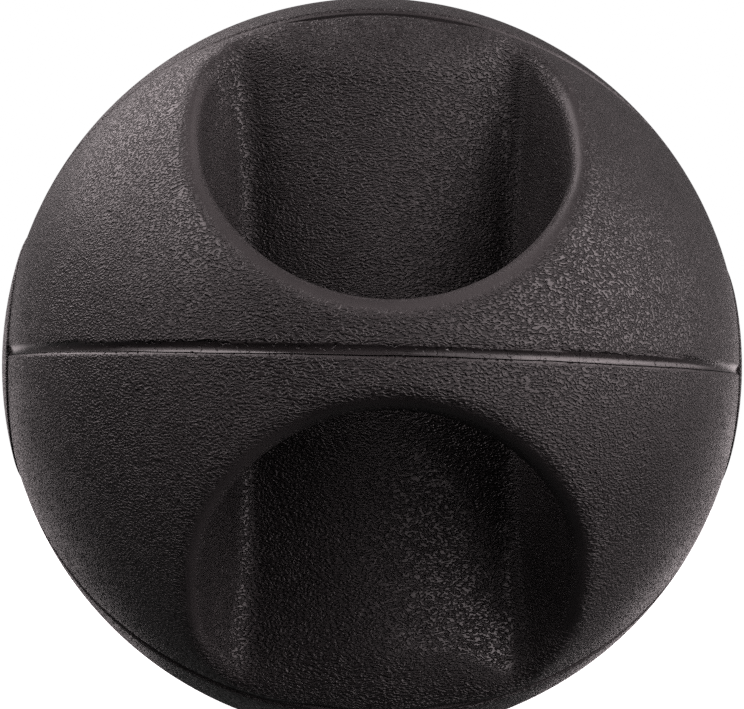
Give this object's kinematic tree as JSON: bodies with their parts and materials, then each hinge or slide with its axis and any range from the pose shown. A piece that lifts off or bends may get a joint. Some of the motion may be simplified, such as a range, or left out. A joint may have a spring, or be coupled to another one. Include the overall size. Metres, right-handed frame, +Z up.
{
  "type": "dual-grip medicine ball",
  "caption": "Black textured rubber medicine ball with an integral handle and a hand tunnel on the front and on the back, meridian grooves and a round pad at each end.",
  "frame": {"origin": "centre of the ball", "axes": "+Z up, square to the mould's parting plane; +X through the right end pad, along both handles; -Y through the middle of the front handle"},
  "size_m": [0.2712, 0.2698, 0.2695],
  "materials": {
    "grained_cover": "satin",
    "grained_liner": "satin",
    "handle_rubber": "matte",
    "end_pad": "matte",
    "carcass_rubber": "matte",
    "valve_rubber": "matte"
  },
  "bodies": {
    "root": {"front_upper_panel": "grained_cover", "front_lower_panel": "grained_cover", "top_panel": "grained_cover", "bottom_panel": "grained_cover", "rear_upper_panel": "grained_cover", "rear_lower_panel": "grained_cover", "right_end_pad": "end_pad", "left_end_pad": "end_pad", "front_upper_tunnel_liner": "grained_liner", "front_lower_tunnel_liner": "grained_liner", "rear_upper_tunnel_liner": "grained_liner", "rear_lower_tunnel_liner": "grained_liner", "front_upper_handle": "handle_rubber", "front_lower_handle": "handle_rubber", "rear_upper_handle": "handle_rubber", "rear_lower_handle": "handle_rubber", "upper_carcass": "carcass_rubber", "lower_carcass": "carcass_rubber", "valve_housing": "valve_rubber", "valve_plug": "valve_rubber"}
  },
  "joints": []
}
